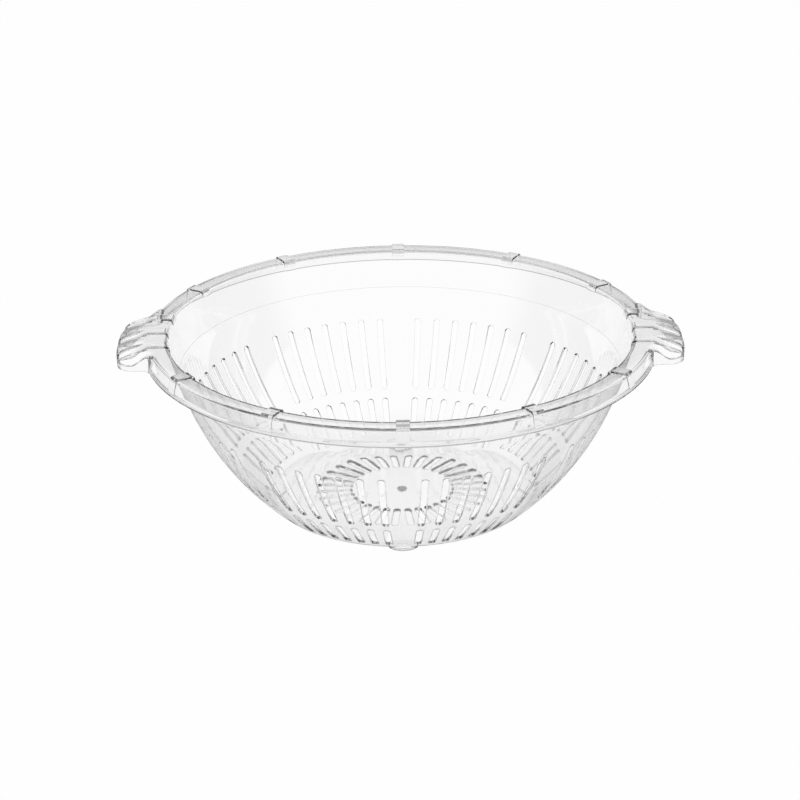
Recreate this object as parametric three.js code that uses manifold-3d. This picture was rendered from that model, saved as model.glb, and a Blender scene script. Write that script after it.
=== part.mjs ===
// Clear plastic kitchen colander: one moulding, with a solid here for each of its features.
// Millimetres, +Z up. The origin lies on the surface it stands on, under the middle of the bowl.
// X runs through the two handles.
import * as THREE from "three";
import { mergeVertices } from "three/addons/utils/BufferGeometryUtils.js";
import Module from "manifold-3d";

const wasm = await Module();
wasm.setup();

// Overall sizes
const handleSpan = 375;
const rimHeight = 120;
const wallThickness = 2;
const seatGap = 0.3;

// Bowl: the outside of the wall is one arc from the base corner up to the shoulder
const baseRadius = 88;
const footHeight = 2.3;
const shoulderRadius = 148.3;
const shoulderHeight = 94.7;
const wallArcRadius = 192;
const shoulderStep = 1;

// Drain slots
const slotWidth = 4;
const slotPositions = 64;
const slotsPerGroup = 8;
const lowerSlotBottom = 6.6;
const lowerSlotTop = 24.6;
const upperSlotBottom = 30.3;
const upperSlotTop = 73.7;
const floorSlotCount = 32;
const floorSlotInnerRadius = 34;
const floorSlotOuterRadius = 58;

// Rim: a flat land with a skirt, open underneath
const rimOuterRadius = 166.5;
const landWidth = 12.1;
const skirtSplay = 3;
const skirtDepth = 11.9;
const rimInnerRounding = 0.8;
const rimOuterRounding = 1.6;

// Raised bands over the rim
const bandRise = 1.4;
const bandHookDepth = 3.6;
const bandFootClearance = 0.9;
const knuckleWidth = 8.6;
const knucklePlaces = 12;

// Handles: finger lobes with a groove between them in line with each rib
const handleWidth = 80;
const handleLipHeight = 3.6;
const handleCrownDrop = 1.8;
const handleCornerRadius = 12;
const handleEndRun = 13;
const handleEndRise = 6;
const handleLandReach = 4;
const handleRibWidth = 9.2;
const handleRibPitch = 25;
const handleRibCount = 3;

// Feet and gate mark
const footCount = 4;
const footBottomWidth = 15;
const footTopWidth = 20;
const footRadialLength = 12;
const footClimb = 2.2;
const footSplay = 3;
const gateTopRadius = 4;
const gateTipRadius = 2.7;
const gateHeight = 1.2;

// Fineness of the faceted surfaces
const rimSides = 72;
const roundingSteps = 3;
const slotEndSteps = 3;
const gateSides = 16;

// Worked-out sizes
const handleRadius = handleSpan / 2;
const floorTop = footHeight + wallThickness;
const landUnderside = rimHeight - wallThickness;
const skirtBottom = rimHeight - skirtDepth;
const rimInnerRadius = rimOuterRadius - landWidth;
const skirtBottomRadius = rimOuterRadius + skirtSplay;
const bandTop = rimHeight + bandRise;
const wallSplit = (lowerSlotTop + upperSlotBottom) / 2;
const slotPitch = (2 * Math.PI) / slotPositions;
const floorSlotPitch = (2 * Math.PI) / floorSlotCount;
const handleJoinRadius = rimOuterRadius - handleLandReach;
const handleInnerRadius = handleJoinRadius + seatGap;
const grooveFloor = skirtBottom + wallThickness;
const grooveWidth = handleRibWidth + 2 * seatGap;
const lipTop = skirtBottom + handleLipHeight;
const endLobeWidth = (handleWidth - (handleRibCount - 1) * handleRibPitch - grooveWidth) / 2;
const knuckleSpacing = (2 * Math.PI) / knucklePlaces;
const wallArcCentre = arcCentre(
  new THREE.Vector2(baseRadius, footHeight),
  new THREE.Vector2(shoulderRadius, shoulderHeight),
  wallArcRadius,
);
const bandInnerFoot = wallRadius(shoulderHeight, wallThickness) + shoulderStep;
const bandSlope = (rimInnerRadius - bandInnerFoot) / (rimHeight - shoulderHeight);
const bandAcross = wallThickness * Math.hypot(1, bandSlope);
const skirtSlope = (skirtBottomRadius - rimOuterRadius) / skirtDepth;
const skirtAcross = wallThickness * Math.hypot(1, skirtSlope);
// A cutter is longer than anything that it has to pass through
const cutterReach = 10 * wallThickness;

// Centre of the circle through two profile points, on the axis side of them
function arcCentre(low, high, radius) {
  const chord = high.clone().sub(low);
  const rise = Math.sqrt(radius ** 2 - chord.lengthSq() / 4);
  const towardAxis = new THREE.Vector2(-chord.y, chord.x).normalize();
  return low.clone().add(high).multiplyScalar(0.5).addScaledVector(towardAxis, rise);
}

// Radius of the bowl's wall at a height, measured inwards from its outside
function wallRadius(height, inset) {
  const across = Math.sqrt((wallArcRadius - inset) ** 2 - (height - wallArcCentre.y) ** 2);
  return wallArcCentre.x + across;
}

function bandInnerRadius(height) {
  return bandInnerFoot + bandSlope * (height - shoulderHeight);
}

function skirtRadius(height) {
  return rimOuterRadius + skirtSlope * (rimHeight - height);
}

// Points of the wall's inside or outside at a list of heights
function wallCurve(heights, inset) {
  return heights.map((height) => new THREE.Vector2(wallRadius(height, inset), height));
}

function points2(...pairs) {
  return pairs.map(([x, y]) => new THREE.Vector2(x, y));
}

// A closed mesh as a solid for joining and cutting
function solidOf(geometry) {
  const bare = geometry.clone();
  bare.deleteAttribute("normal");
  bare.deleteAttribute("uv");
  const merged = mergeVertices(bare);
  const corners = merged.index.array;
  const kept = [];
  for (let at = 0; at < corners.length; at += 3) {
    const [a, b, c] = corners.slice(at, at + 3);
    if (a !== b && b !== c && c !== a) {
      kept.push(a, b, c);
    }
  }
  return new wasm.Manifold(new wasm.Mesh({
    numProp: 3,
    vertProperties: merged.attributes.position.array,
    triVerts: new Uint32Array(kept),
  }));
}

function geometryOf(solid) {
  const mesh = solid.getMesh();
  const geometry = new THREE.BufferGeometry();
  geometry.setAttribute("position", new THREE.BufferAttribute(mesh.vertProperties, 3));
  geometry.setIndex(new THREE.BufferAttribute(mesh.triVerts, 1));
  geometry.computeVertexNormals();
  return geometry;
}

// Turns a profile of radius and height, listed anticlockwise, about the vertical axis
function turned(profile, sides, firstBearing) {
  const closed = [...profile, profile[0]];
  return solidOf(new THREE.LatheGeometry(closed, sides, firstBearing).rotateX(Math.PI / 2));
}

// The bowl has one facet for each slot position, with the slot in its middle
function turnedBowl(profile) {
  return turned(profile, slotPositions, slotPitch / 2);
}

// The rim's facets repeat from knuckle to knuckle
function turnedRim(profile) {
  return turned(profile, rimSides, 0);
}

// Upright prism of a plan outline
function prism(outline, fromHeight, toHeight) {
  const geometry = new THREE.ExtrudeGeometry(outline, {
    depth: toHeight - fromHeight,
    bevelEnabled: false,
    curveSegments: roundingSteps * 2,
  });
  return solidOf(geometry.translate(0, 0, fromHeight));
}

// Box from the axis outwards along +X that keeps a strip of a turned ring
function radialStrip(width, offset, fromRadius) {
  const length = handleRadius + cutterReach - fromRadius;
  const box = new THREE.BoxGeometry(length, width, rimHeight * 2);
  return solidOf(box.translate(fromRadius + length / 2, offset, rimHeight));
}

// Flat outline of a slot with round ends, its length along Y
function slotOutline(length) {
  const end = (length - slotWidth) / 2;
  const corners = [];
  for (const [centre, start] of [[end, 0], [-end, Math.PI]]) {
    for (let step = 0; step <= slotEndSteps; step += 1) {
      const turn = start + (Math.PI * step) / slotEndSteps;
      corners.push(new THREE.Vector2(Math.cos(turn), Math.sin(turn)).multiplyScalar(slotWidth / 2));
      corners.at(-1).y += centre;
    }
  }
  return new THREE.Shape(corners);
}

function slotCutter(length) {
  const cutter = new THREE.ExtrudeGeometry(slotOutline(length), { depth: cutterReach, bevelEnabled: false });
  return cutter.translate(0, 0, -cutterReach / 2);
}

// Cutter for a wall slot on +X, square to the wall between two heights
function wallSlotCutter(fromHeight, toHeight) {
  const middle = wallThickness / 2;
  const low = new THREE.Vector3(wallRadius(fromHeight, middle), 0, fromHeight);
  const high = new THREE.Vector3(wallRadius(toHeight, middle), 0, toHeight);
  const along = high.clone().sub(low);
  const length = along.length();
  const upWall = along.normalize();
  const across = new THREE.Vector3(0, 1, 0);
  const outward = across.clone().cross(upWall);
  const placing = new THREE.Matrix4().makeBasis(across, upWall, outward);
  placing.setPosition(low.add(high).multiplyScalar(0.5));
  return slotCutter(length).applyMatrix4(placing);
}

function floorSlotCutter() {
  const middle = (floorSlotInnerRadius + floorSlotOuterRadius) / 2;
  const cutter = slotCutter(floorSlotOuterRadius - floorSlotInnerRadius);
  return cutter.rotateZ(Math.PI / 2).translate(middle, 0, floorTop);
}

function cutAround(solid, cutter, bearings) {
  return bearings.reduce(
    (left, bearing) => left.subtract(solidOf(cutter.clone().rotateZ(bearing))),
    solid,
  );
}

// Groups of slots with a plain gap where every eighth one would be
function wallSlotBearings() {
  const bearings = [];
  for (let place = 0; place < slotPositions; place += 1) {
    if (place % slotsPerGroup !== 0) {
      bearings.push(place * slotPitch);
    }
  }
  return bearings;
}

function floorSlotBearings() {
  return Array.from({ length: floorSlotCount }, (_, place) => (place + 0.5) * floorSlotPitch);
}

function bowlFloor() {
  const edge = points2([baseRadius, footHeight], [wallRadius(floorTop, 0), floorTop]);
  const disc = turnedBowl([new THREE.Vector2(0, footHeight), ...edge, new THREE.Vector2(0, floorTop)]);
  return cutAround(disc, floorSlotCutter(), floorSlotBearings());
}

// Wall ring with its row of slots, its profile bending at each of the heights
function wallRing(heights, slotBottom, slotTop) {
  const outside = wallCurve(heights, 0);
  const inside = wallCurve(heights.toReversed(), wallThickness);
  const ring = turnedBowl([...outside, ...inside]);
  return cutAround(ring, wallSlotCutter(slotBottom, slotTop), wallSlotBearings());
}

function lowerWall() {
  return wallRing([floorTop, wallSplit], lowerSlotBottom, lowerSlotTop);
}

function upperWall() {
  const slotMiddle = (upperSlotBottom + upperSlotTop) / 2;
  const aboveSlots = (upperSlotTop + shoulderHeight) / 2;
  return wallRing([wallSplit, slotMiddle, aboveSlots, shoulderHeight], upperSlotBottom, upperSlotTop);
}

function shoulderBand() {
  const foot = bandInnerRadius(shoulderHeight);
  const head = bandInnerRadius(landUnderside);
  return turnedBowl(points2(
    [foot + bandAcross, shoulderHeight],
    [head + bandAcross, landUnderside],
    [head, landUnderside],
    [foot, shoulderHeight],
  ));
}

function rimProfile() {
  const roundingStart = rimHeight - rimOuterRounding;
  const roundingEnd = rimHeight - rimInnerRounding;
  const profile = new THREE.Path();
  profile.moveTo(skirtRadius(skirtBottom), skirtBottom);
  profile.lineTo(skirtRadius(roundingStart), roundingStart);
  profile.quadraticCurveTo(rimOuterRadius, rimHeight, rimOuterRadius - rimOuterRounding, rimHeight);
  profile.lineTo(rimInnerRadius + rimInnerRounding, rimHeight);
  profile.quadraticCurveTo(rimInnerRadius, rimHeight, bandInnerRadius(roundingEnd), roundingEnd);
  profile.lineTo(bandInnerRadius(landUnderside), landUnderside);
  profile.lineTo(skirtRadius(landUnderside) - skirtAcross, landUnderside);
  profile.lineTo(skirtRadius(skirtBottom) - skirtAcross, skirtBottom);
  return profile.getPoints(roundingSteps);
}

// Rim with its skirt left out over each handle
function rim() {
  const span = handleSpan + 2 * cutterReach;
  const across = new THREE.BoxGeometry(span, handleWidth + 2 * seatGap, 4 * rimHeight);
  return turnedRim(rimProfile()).subtract(solidOf(across).subtract(handleJoinBore()));
}

// Round plug up to where the rim's land ends and a handle begins
function handleJoinBore() {
  return turnedRim(points2(
    [0, 0],
    [handleJoinRadius, 0],
    [handleJoinRadius, 2 * rimHeight],
    [0, 2 * rimHeight],
  ));
}

// Section of a finger lobe, drawn in by an inset under its top and behind its lip.
// An inset one is the hollow, so it runs out past the open underside and inner face.
function lobeSection(inset) {
  const bottom = skirtBottom - inset;
  const inner = handleInnerRadius - inset;
  const outer = handleRadius - inset;
  const top = rimHeight - inset;
  const profile = new THREE.Path();
  profile.moveTo(inner, bottom);
  profile.lineTo(outer, bottom);
  profile.lineTo(outer, lipTop - inset);
  profile.quadraticCurveTo(outer - handleLipHeight, top - handleCrownDrop, rimOuterRadius, top);
  profile.lineTo(inner, top);
  return turnedRim(profile.getPoints(roundingSteps));
}

// The rim's own skirt, which the grooves lay bare, filled in behind
function skirtSection() {
  return turnedRim(points2(
    [handleInnerRadius, skirtBottom],
    [skirtBottomRadius, skirtBottom],
    [rimOuterRadius, rimHeight],
    [handleInnerRadius, rimHeight],
  ));
}

// Floor of the grooves, which joins the lobes
function grooveFloorSection() {
  return turnedRim(points2(
    [handleInnerRadius, skirtBottom],
    [handleRadius, skirtBottom],
    [handleRadius, grooveFloor],
    [handleInnerRadius, grooveFloor],
  ));
}

// Hollow between the bowl and the skirt, under the land
function behindSkirt() {
  const bottom = skirtBottom - wallThickness;
  const inner = handleInnerRadius - wallThickness;
  return turnedRim(points2(
    [inner, bottom],
    [skirtRadius(bottom) - skirtAcross, bottom],
    [skirtRadius(landUnderside) - skirtAcross, landUnderside],
    [inner, landUnderside],
  ));
}

// Plan outline of a handle: straight ends, round corners and the outer edge left to the turned section
function handleOutline(inset) {
  const halfWidth = handleWidth / 2 - inset;
  const edgeRadius = handleRadius - inset;
  const cornerX = Math.sqrt(edgeRadius ** 2 - halfWidth ** 2);
  const turnY = halfWidth - handleCornerRadius;
  const turnX = Math.sqrt(edgeRadius ** 2 - turnY ** 2);
  const beyond = handleRadius + cutterReach;
  const outline = new THREE.Shape();
  outline.moveTo(0, -halfWidth);
  outline.lineTo(cornerX - handleCornerRadius, -halfWidth);
  outline.quadraticCurveTo(cornerX, -halfWidth, turnX, -turnY);
  outline.lineTo(beyond, -turnY);
  outline.lineTo(beyond, turnY);
  outline.lineTo(turnX, turnY);
  outline.quadraticCurveTo(cornerX, halfWidth, cornerX - handleCornerRadius, halfWidth);
  outline.lineTo(0, halfWidth);
  return outline;
}

function ribOffsets() {
  const middle = (handleRibCount - 1) / 2;
  return Array.from({ length: handleRibCount }, (_, place) => (place - middle) * handleRibPitch);
}

// The grooves' strips, made wider on each side for the hollow inside the lobes
function grooveStrips(widening) {
  const strips = ribOffsets().map((offset) => radialStrip(grooveWidth + 2 * widening, offset, 0));
  return strips.reduce((joined, strip) => joined.add(strip));
}

// Everything above the slope that takes one end of a handle down from the land to the lip
function aboveEndSlope(side, inset) {
  const halfWidth = handleWidth / 2;
  const fall = (rimHeight - lipTop) / handleEndRun;
  const up = new THREE.Vector3(0, 0, 1);
  const slopeNormal = new THREE.Vector3(fall, (side * handleEndRise) / endLobeWidth, 1).normalize();
  const tilt = new THREE.Quaternion().setFromUnitVectors(up, slopeNormal);
  const start = Math.sqrt((rimOuterRadius - rimOuterRounding) ** 2 - halfWidth ** 2);
  const above = new THREE.BoxGeometry(handleSpan, handleSpan, handleSpan).translate(0, 0, handleSpan / 2);
  above.applyQuaternion(tilt).translate(start, side * halfWidth, rimHeight - inset / slopeNormal.z);
  const overLip = new THREE.BoxGeometry(2 * handleSpan, 2 * handleSpan, handleSpan);
  return solidOf(above).intersect(solidOf(overLip.translate(0, 0, lipTop - inset + handleSpan / 2)));
}

// Finger lobes with sloping ends, or with an inset the hollow inside them
function lobes(inset) {
  const parted = lobeSection(inset).subtract(grooveStrips(inset));
  return parted.subtract(aboveEndSlope(1, inset)).subtract(aboveEndSlope(-1, inset));
}

// Hollow grip on +X, open underneath and towards the bowl
function handle() {
  const block = lobes(0).add(skirtSection()).add(grooveFloorSection());
  const hollow = lobes(wallThickness).add(behindSkirt());
  const outside = prism(handleOutline(0), 0, bandTop);
  const inside = prism(handleOutline(wallThickness), 0, bandTop);
  return block.intersect(outside).subtract(hollow.intersect(inside));
}

// Raised band over the rim, from its inner edge to part way down its skirt, cut to a strip on +X
function rimBand(width, offset) {
  const low = grooveFloor + bandFootClearance;
  const hookBottom = rimHeight - bandHookDepth;
  const outer = rimOuterRadius + bandRise;
  const profile = points2(
    [skirtRadius(low) + seatGap, low],
    [outer + skirtSlope * bandRise, rimHeight - bandRise],
    [outer - bandRise, bandTop],
    [rimInnerRadius, bandTop],
    [rimInnerRadius - bandRise, rimHeight],
    [bandInnerRadius(hookBottom) - seatGap, hookBottom],
    [rimInnerRadius - seatGap, rimHeight],
    [rimOuterRadius + seatGap, rimHeight],
  );
  return turnedRim(profile).intersect(radialStrip(width, offset, 0));
}

// Low foot on +X that wraps the corner between floor and wall
function foot() {
  const top = footHeight + footClimb;
  const inner = baseRadius + footSplay - footRadialLength;
  const profile = points2(
    [inner, 0],
    [baseRadius + footSplay, 0],
    [wallRadius(top, -seatGap), top],
    [wallRadius(footHeight, -seatGap), footHeight],
    [inner, footHeight],
  );
  const face = new THREE.Shape(points2(
    [-footBottomWidth / 2, 0],
    [footBottomWidth / 2, 0],
    [footTopWidth / 2, top],
    [-footTopWidth / 2, top],
  ));
  const block = new THREE.ExtrudeGeometry(face, { depth: shoulderRadius, bevelEnabled: false });
  const alongX = block.rotateX(Math.PI / 2).rotateZ(Math.PI / 2);
  return turnedBowl(profile).intersect(solidOf(alongX));
}

// Stub below the floor where the mould was filled
function gateMark() {
  const stub = new THREE.CylinderGeometry(gateTopRadius, gateTipRadius, gateHeight, gateSides);
  return stub.rotateX(Math.PI / 2).translate(0, 0, footHeight - gateHeight / 2);
}

function clearPlastic() {
  return new THREE.MeshStandardMaterial({
    color: "#eef1f2",
    roughness: 0.06,
    metalness: 0,
    transparent: true,
    opacity: 0.35,
  });
}

function piece(name, geometry, bearing = 0) {
  const mesh = new THREE.Mesh(geometry, clearPlastic());
  mesh.name = name;
  mesh.rotation.z = bearing;
  return mesh;
}

// Bearings of the knuckles: every place but the two that the handles take
function knuckleBearings() {
  const bearings = [];
  for (let place = 0; place < knucklePlaces; place += 1) {
    if (place % (knucklePlaces / 2) !== 0) {
      bearings.push(place * knuckleSpacing);
    }
  }
  return bearings;
}

const colander = new THREE.Group();
colander.add(
  piece("bowl_floor", geometryOf(bowlFloor())),
  piece("gate_mark", gateMark()),
  piece("lower_wall", geometryOf(lowerWall())),
  piece("upper_wall", geometryOf(upperWall())),
  piece("shoulder_band", geometryOf(shoulderBand())),
  piece("rim", geometryOf(rim())),
);

const handleGeometry = geometryOf(handle());
for (const [side, bearing] of [["right", 0], ["left", Math.PI]]) {
  colander.add(piece(`${side}_handle`, handleGeometry, bearing));
  ribOffsets().forEach((offset, place) => {
    const rib = geometryOf(rimBand(handleRibWidth, offset));
    colander.add(piece(`${side}_handle_rib_${place + 1}`, rib, bearing));
  });
}

const knuckleGeometry = geometryOf(rimBand(knuckleWidth, 0));
knuckleBearings().forEach((bearing, place) => {
  colander.add(piece(`rim_knuckle_${String(place + 1).padStart(2, "0")}`, knuckleGeometry, bearing));
});

const footGeometry = geometryOf(foot());
for (let place = 0; place < footCount; place += 1) {
  colander.add(piece(`foot_${place + 1}`, footGeometry, (place * 2 * Math.PI) / footCount));
}

export default colander;
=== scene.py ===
"""Clear kitchen colander: the looks of a slotted bowl with ribbed grips, built over its CAD frame."""

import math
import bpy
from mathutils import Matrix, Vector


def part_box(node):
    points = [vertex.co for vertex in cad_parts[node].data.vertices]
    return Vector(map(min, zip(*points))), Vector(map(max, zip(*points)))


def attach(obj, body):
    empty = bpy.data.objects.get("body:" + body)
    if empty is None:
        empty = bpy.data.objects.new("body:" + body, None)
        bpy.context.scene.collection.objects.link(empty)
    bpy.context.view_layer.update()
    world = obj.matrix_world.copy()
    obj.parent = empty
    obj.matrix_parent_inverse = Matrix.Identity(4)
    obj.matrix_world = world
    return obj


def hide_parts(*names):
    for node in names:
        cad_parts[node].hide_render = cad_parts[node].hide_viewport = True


bl_info = {
    "name": "Clear Kitchen Colander",
    "version": (1, 0, 0),
    "blender": (4, 5, 0),
    "location": "View3D > Sidebar > Colander",
    "description": "Builds a clear moulded colander over its CAD frame, with a stage and a camera",
    "category": "Object",
}

import bmesh
import bpy
from bpy.props import FloatProperty, FloatVectorProperty, IntProperty, PointerProperty
from mathutils import Matrix, Vector
from mathutils.geometry import interpolate_bezier

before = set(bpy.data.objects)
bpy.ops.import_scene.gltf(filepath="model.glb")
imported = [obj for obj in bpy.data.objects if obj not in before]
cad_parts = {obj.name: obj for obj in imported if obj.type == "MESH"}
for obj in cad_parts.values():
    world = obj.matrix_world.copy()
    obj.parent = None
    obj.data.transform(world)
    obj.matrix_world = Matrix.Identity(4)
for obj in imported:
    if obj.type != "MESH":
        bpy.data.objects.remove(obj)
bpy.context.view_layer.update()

MM = 0.001
UP = Vector((0, 0, 1))
MOULDING = "colander_moulding"

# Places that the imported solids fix
RIM_LOW, RIM_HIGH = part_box("rim")
BAND_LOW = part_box("rim_knuckle_01")[0]
HANDLE_LOW, HANDLE_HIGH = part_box("right_handle")
SHOULDER_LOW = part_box("shoulder_band")[0]
FLOOR_LOW, FLOOR_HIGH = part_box("bowl_floor")
FOOT_LOW, FOOT_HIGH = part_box("foot_1")
GATE_LOW, GATE_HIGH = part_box("gate_mark")

# Width of the camera's sensor in millimetres and of the picture in pixels
SENSOR = 36
PICTURE = 800

# Edges that turn by more than these stay crisp, among the slots and everywhere else
SLOT_CREASE = math.radians(8)
RIM_CREASE = math.radians(28)

# Edges of grips and bands that turn by more than this are rounded
ROUNDED_CREASE = math.radians(30)

# Faces that turn by less than this lie in one plane
FLAT_TURN = math.radians(1)

# Two vertices closer than this are one, in all pieces and in a band before its edges are rounded
SAME_PLACE = 0.001 * MM
SAME_PLACE_ON_BAND = 0.05 * MM

# A vertex closer than this to a cutting plane lies on it
ON_PLANE = 0.0001 * MM

# Places of the ribs and grooves along a grip, counted in rib pitches from its middle
RIB_PLACES = (-1, 0, 1)


def linear_colour(code):
    """Turns an sRGB hex colour into the linear red, green and blue that Blender works in."""
    channels = [int(code[at:at + 2], 16) / 255 for at in (1, 3, 5)]
    return [value / 12.92 if value <= 0.04045 else ((value + 0.055) / 1.055) ** 2.4 for value in channels]


class BowlSizes(bpy.types.PropertyGroup):
    """Sizes of the turned bowl and of the rim that closes it."""

    base_radius: FloatProperty(
        name="Base radius", description="Outside corner between floor and wall",
        default=88 * MM, unit="LENGTH")
    floor_bottom: FloatProperty(
        name="Floor bottom", description="Height of the floor's underside",
        default=FLOOR_LOW.z, unit="LENGTH")
    wall: FloatProperty(
        name="Wall", description="Thickness of the moulded wall",
        default=FLOOR_HIGH.z - FLOOR_LOW.z, unit="LENGTH")
    wall_arc: FloatProperty(
        name="Wall arc", description="Radius of the arc that the outside of the wall follows",
        default=192 * MM, unit="LENGTH")
    shoulder_radius: FloatProperty(
        name="Shoulder radius", description="Outside radius of the wall where it ends under the band",
        default=148.3 * MM, unit="LENGTH")
    shoulder_height: FloatProperty(
        name="Shoulder height", description="Height at which the plain band begins",
        default=SHOULDER_LOW.z, unit="LENGTH")
    shoulder_step: FloatProperty(
        name="Shoulder step", description="How far the band steps out from the wall",
        default=0.2 * MM, unit="LENGTH")
    rim_height: FloatProperty(
        name="Rim height", description="Height of the flat land of the rim",
        default=RIM_HIGH.z, unit="LENGTH")
    rim_inner: FloatProperty(
        name="Rim inner radius", description="Inner edge of the flat land",
        default=154.4 * MM, unit="LENGTH")
    rim_outer: FloatProperty(
        name="Rim outer radius", description="Outer edge of the flat land",
        default=166.5 * MM, unit="LENGTH")
    skirt_radius: FloatProperty(
        name="Skirt radius", description="Outside of the skirt at its lower edge",
        default=RIM_HIGH.y, unit="LENGTH")
    skirt_bottom: FloatProperty(
        name="Skirt bottom", description="Height of the skirt's lower edge",
        default=RIM_LOW.z, unit="LENGTH")
    base_rounding: FloatProperty(
        name="Base rounding", description="Rounding outside between floor and wall",
        default=1.6 * MM, unit="LENGTH")
    floor_fillet: FloatProperty(
        name="Floor fillet", description="Hollow curve inside between floor and wall",
        default=0.6 * MM, unit="LENGTH")
    step_rounding: FloatProperty(
        name="Step rounding", description="Rounding of the step under the band",
        default=0.08 * MM, unit="LENGTH")
    land_fillet: FloatProperty(
        name="Land fillet", description="Hollow curves under the land of the rim",
        default=0.8 * MM, unit="LENGTH")
    bead_width: FloatProperty(
        name="Bead width", description="Thickness of the bead along the skirt's lower edge",
        default=3 * MM, unit="LENGTH")
    bead_height: FloatProperty(
        name="Bead height", description="Height over which the skirt thickens to its bead",
        default=3.2 * MM, unit="LENGTH")
    skirt_rounding: FloatProperty(
        name="Skirt rounding", description="Rounding of the skirt's lower edge",
        default=1.4 * MM, unit="LENGTH")
    outer_rounding: FloatProperty(
        name="Outer rim rounding", description="Rounding between the land and the skirt",
        default=1 * MM, unit="LENGTH")
    inner_rounding: FloatProperty(
        name="Inner rim rounding", description="Rounding between the land and the inside of the band",
        default=2 * MM, unit="LENGTH")
    wall_steps: IntProperty(
        name="Wall steps", description="Steps of the wall's arc from the floor to the shoulder",
        default=24, min=6)
    fillet_steps: IntProperty(
        name="Fillet steps", description="Steps of each rounding of the profile",
        default=12, min=2)
    turns: IntProperty(
        name="Turn steps", description="Steps of the turned bowl round its axis",
        default=192, min=32)


class GripSizes(bpy.types.PropertyGroup):
    """Sizes of the two grips and of the raised bands over the rim."""

    reach: FloatProperty(
        name="Reach", description="Distance from the axis to the tip of a grip",
        default=HANDLE_HIGH.x, unit="LENGTH")
    width: FloatProperty(
        name="Width", description="Width of a grip across its ends",
        default=HANDLE_HIGH.y - HANDLE_LOW.y, unit="LENGTH")
    lip: FloatProperty(
        name="Lip", description="Height of the upright outer lip",
        default=3.6 * MM, unit="LENGTH")
    crown_drop: FloatProperty(
        name="Crown drop", description="How far the crown of a lobe falls before it turns down to the lip",
        default=1.8 * MM, unit="LENGTH")
    corner: FloatProperty(
        name="Corner", description="Rounding of a grip's outer corners in plan",
        default=11 * MM, unit="LENGTH")
    root_fillet: FloatProperty(
        name="Root fillet", description="Hollow curve between a grip's end and the skirt in plan",
        default=5 * MM, unit="LENGTH")
    groove_depth: FloatProperty(
        name="Groove depth", description="Depth of the grooves as a share of the lobes' height",
        default=0.55, subtype="FACTOR")
    groove_floor: FloatProperty(
        name="Groove floor", description="Half width of a groove's floor as a share of the rib's width",
        default=0.25, subtype="FACTOR")
    groove_edge: FloatProperty(
        name="Groove edge", description="Half width of a groove at its top as a share of the rib's width",
        default=0.65, subtype="FACTOR")
    opening: FloatProperty(
        name="Opening", description="Share of the way out over which the grooves and ends come in",
        default=0.45, subtype="FACTOR")
    end_fall: FloatProperty(
        name="End fall", description="Fall of the end lobes as a share of the lobes' height",
        default=0.65, subtype="FACTOR")
    end_run: FloatProperty(
        name="End run", description="Width over which the end lobes fall",
        default=12 * MM, unit="LENGTH")
    rib_width: FloatProperty(
        name="Rib width", description="Width of the raised ribs and of the grooves in line with them",
        default=9.2 * MM, unit="LENGTH")
    rib_pitch: FloatProperty(
        name="Rib pitch", description="Spacing of the ribs along a grip",
        default=25 * MM, unit="LENGTH")
    knuckle_width: FloatProperty(
        name="Knuckle width", description="Width of the raised bands round the rim",
        default=8.6 * MM, unit="LENGTH")
    knuckles: IntProperty(
        name="Knuckles", description="Number of raised bands between the two grips on each side",
        default=5)
    band_top: FloatProperty(
        name="Band top", description="Height of the raised bands",
        default=RIM_HIGH.z + 1.15 * MM, unit="LENGTH")
    band_steps: IntProperty(
        name="Band steps", description="Steps of a band along the curve of the rim",
        default=40, min=4)
    band_bottom: FloatProperty(
        name="Band bottom", description="Height at which the bands run out on the skirt",
        default=BAND_LOW.z, unit="LENGTH")
    band_hook: FloatProperty(
        name="Band hook", description="How far the bands hook down inside the rim",
        default=3.6 * MM, unit="LENGTH")
    band_sink: FloatProperty(
        name="Band sink", description="How deep the bands reach into the rim and the grips",
        default=0.8 * MM, unit="LENGTH")
    band_edge: FloatProperty(
        name="Band edge", description="How far the ends of a band stand proud of the rim",
        default=0.1 * MM, unit="LENGTH")
    rib_reach: FloatProperty(
        name="Rib reach", description="How far a rib runs over the rim before it turns down into its groove",
        default=3 * MM, unit="LENGTH")
    rounding: FloatProperty(
        name="Rounding", description="Rounding of the edges of grips and bands",
        default=0.3 * MM, unit="LENGTH")
    rounding_steps: IntProperty(
        name="Rounding steps", description="Steps of that rounding",
        default=3, min=1)
    overlap: FloatProperty(
        name="Overlap", description="How far a grip runs into the rim",
        default=2.4 * MM, unit="LENGTH")


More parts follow.
